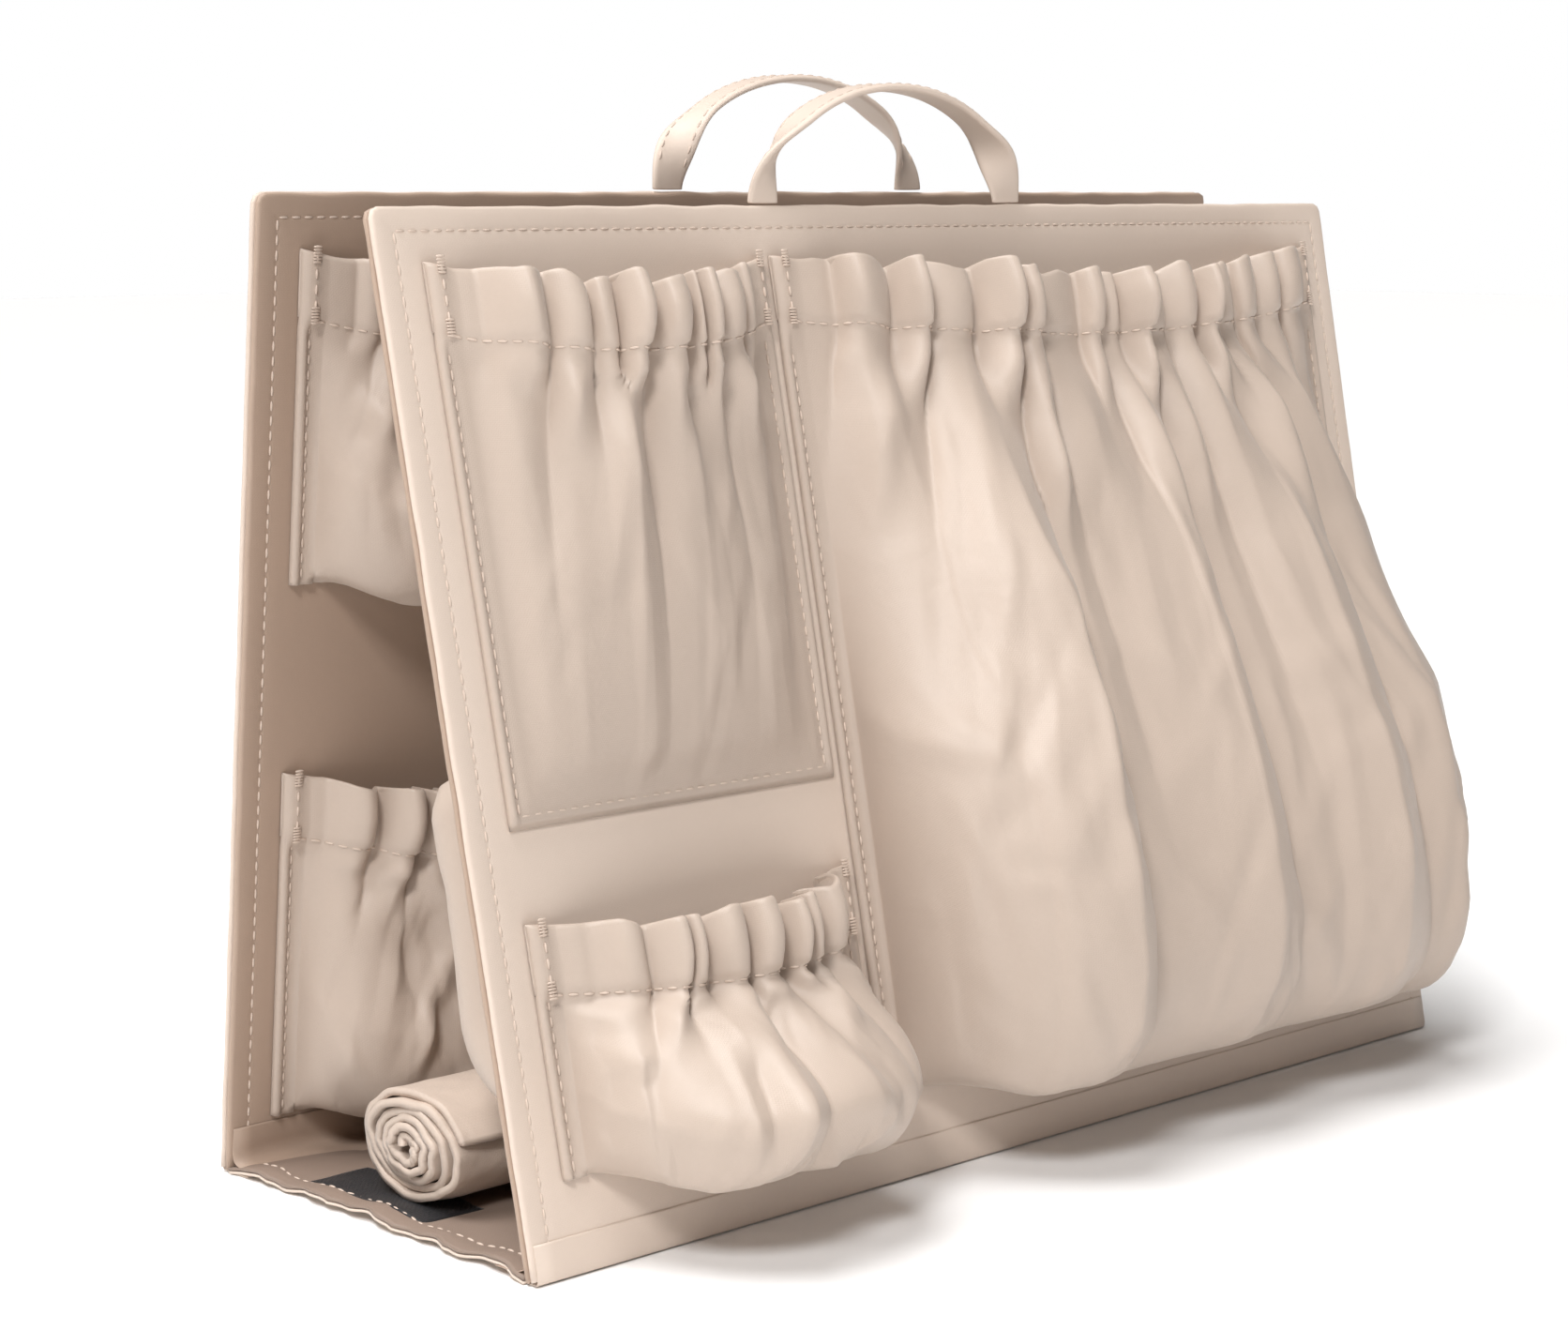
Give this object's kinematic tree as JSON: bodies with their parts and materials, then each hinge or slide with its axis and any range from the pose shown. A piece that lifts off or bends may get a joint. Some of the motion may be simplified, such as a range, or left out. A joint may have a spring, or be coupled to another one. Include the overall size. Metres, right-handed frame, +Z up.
{
  "type": "purse organizer insert",
  "caption": "Standing beige cloth insert for a tote bag: two stiff leaning panels on a soft base, gathered elastic pockets inside and out, strap handles and a rolled mat.",
  "frame": {"origin": "on the floor under the middle of the base", "axes": "+X along the width, from the open end that holds the label to the other end; -Y towards the front panel; +Z up"},
  "size_m": [0.334, 0.201, 0.2646],
  "materials": {
    "cover_cloth": "smooth coated nylon, beige",
    "pocket_cloth": "light satin nylon, beige",
    "lining_cloth": "smooth coated nylon, taupe",
    "mat_cloth": "thin padded nylon, beige",
    "stiffener": "plain stiffener sheet",
    "elastic": "woven elastic band",
    "label_cloth": "plain black woven tape"
  },
  "bodies": {
    "base": {"base_cover": "cover_cloth", "base_lining": "lining_cloth", "base_label": "label_cloth"},
    "front_panel": {"front_panel_cover": "cover_cloth", "front_panel_board": "stiffener", "front_panel_lining": "lining_cloth", "front_handle_left_tab": "cover_cloth", "front_handle_right_tab": "cover_cloth", "front_upper_pocket_bag": "pocket_cloth", "front_upper_pocket_casing": "pocket_cloth", "front_upper_pocket_elastic": "elastic", "front_lower_pocket_bag": "pocket_cloth", "front_lower_pocket_casing": "pocket_cloth", "front_lower_pocket_elastic": "elastic", "front_large_pocket_bag": "pocket_cloth", "front_large_pocket_casing": "pocket_cloth", "front_large_pocket_elastic": "elastic", "inner_front_pocket_bag": "pocket_cloth", "inner_front_pocket_casing": "pocket_cloth", "inner_front_pocket_elastic": "elastic"},
    "back_panel": {"back_panel_cover": "cover_cloth", "back_panel_board": "stiffener", "back_panel_lining": "lining_cloth", "back_handle_left_tab": "cover_cloth", "back_handle_right_tab": "cover_cloth", "back_upper_pocket_bag": "pocket_cloth", "back_upper_pocket_casing": "pocket_cloth", "back_upper_pocket_elastic": "elastic", "back_lower_pocket_bag": "pocket_cloth", "back_lower_pocket_casing": "pocket_cloth", "back_lower_pocket_elastic": "elastic", "back_large_pocket_bag": "pocket_cloth", "back_large_pocket_casing": "pocket_cloth", "back_large_pocket_elastic": "elastic", "inner_upper_pocket_bag": "pocket_cloth", "inner_upper_pocket_casing": "pocket_cloth", "inner_upper_pocket_elastic": "elastic", "inner_lower_pocket_bag": "pocket_cloth", "inner_lower_pocket_casing": "pocket_cloth", "inner_lower_pocket_elastic": "elastic", "inner_large_pocket_bag": "pocket_cloth", "inner_large_pocket_casing": "pocket_cloth", "inner_large_pocket_elastic": "elastic"},
    "front_handle": {"front_handle": "cover_cloth"},
    "back_handle": {"back_handle": "cover_cloth"},
    "mat": {"rolled_mat": "mat_cloth"}
  },
  "joints": [
    {"name": "front_fold", "type": "hinge", "parent": "base", "child": "front_panel", "pos_m": [0, -0.06, 0.0012], "axis": [1, 0, 0], "range_deg": [-4, 30]},
    {"name": "back_fold", "type": "hinge", "parent": "base", "child": "back_panel", "pos_m": [0, 0.06, 0.0012], "axis": [-1, 0, 0], "range_deg": [-2, 24]},
    {"name": "front_handle_flop", "type": "hinge", "parent": "front_panel", "child": "front_handle", "pos_m": [-0.006, -0.01156, 0.23163], "axis": [1, 0, 0], "range_deg": [-5, 90]},
    {"name": "back_handle_flop", "type": "hinge", "parent": "back_panel", "child": "back_handle", "pos_m": [0, 0.03102, 0.23493], "axis": [-1, 0, 0], "range_deg": [-5, 90]},
    {"name": "mat_slide_out", "type": "slide", "parent": "base", "child": "mat", "axis": [-1, 0, 0], "range_m": [0, 0.3]}
  ]
}
